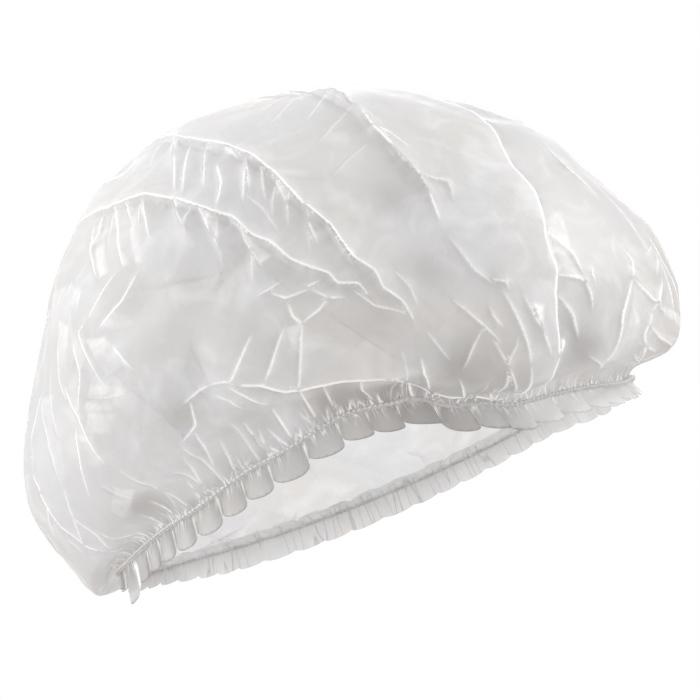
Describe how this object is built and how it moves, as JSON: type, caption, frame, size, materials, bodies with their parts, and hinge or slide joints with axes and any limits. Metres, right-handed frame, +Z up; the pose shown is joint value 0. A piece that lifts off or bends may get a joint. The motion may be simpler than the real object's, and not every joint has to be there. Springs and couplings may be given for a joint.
{
  "type": "disposable hair cover cap",
  "caption": "Puffed cap of thin translucent film, gathered on an elastic band with a short scalloped ruffle below it, shown in its worn shape",
  "frame": {"origin": "middle of the head opening, at the mean height of the elastic band", "axes": "+Z up through the crown, +X towards the forehead end of the opening, which is its long way, +Y to the wearer's left"},
  "size_m": [0.2472, 0.2255, 0.1627],
  "materials": {
    "film": "thin translucent white plastic film with a soft gloss and sharp creases",
    "elastic": "matt woven elastic, off-white"
  },
  "bodies": {
    "root": {"crown": "film", "ruffle": "film", "elastic_band": "elastic"}
  },
  "joints": []
}
